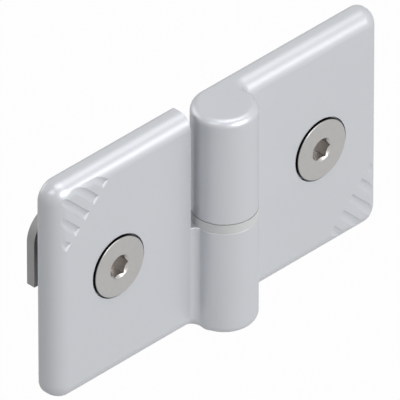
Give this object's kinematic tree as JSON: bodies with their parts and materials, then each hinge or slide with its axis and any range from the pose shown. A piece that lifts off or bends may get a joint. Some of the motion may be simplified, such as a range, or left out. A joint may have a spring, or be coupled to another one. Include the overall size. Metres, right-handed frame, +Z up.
{
  "type": "lift-off hinge",
  "caption": "Surface-mounted lift-off hinge with flat wings on a fixed pin, countersunk screws and slot nuts for profile frames.",
  "frame": {"origin": "centre of the frame wing's screw hole on that wing's seating face", "axes": "+X along the wings from the frame wing to the door wing, +Y out of the seating faces into the profiles, +Z up along the pin"},
  "size_m": [0.1068, 0.0289, 0.06],
  "materials": {
    "silver_casting": "smooth silver-grey coat, satin",
    "pin_steel": "ground",
    "ring_plastic": "matt moulded grey",
    "bush_plastic": "matt moulded natural",
    "screw_steel": "bright plated",
    "nut_steel": "plated"
  },
  "bodies": {
    "frame_side": {"frame_wing": "silver_casting", "hinge_pin": "pin_steel", "frame_screw": "screw_steel", "frame_slot_nut": "nut_steel"},
    "ring": {"thrust_ring": "ring_plastic"},
    "door_side": {"door_wing": "silver_casting", "pin_bush": "bush_plastic", "door_screw": "screw_steel", "door_slot_nut": "nut_steel"}
  },
  "joints": [
    {"name": "door_swing", "type": "hinge", "parent": "frame_side", "child": "ring", "pos_m": [0.033, -0.008, 0], "axis": [0, 0, -1], "range_deg": [0, 180]},
    {"name": "lift_off", "type": "slide", "parent": "ring", "child": "door_side", "axis": [0, 0, 1], "range_m": [0, 0.03]}
  ]
}
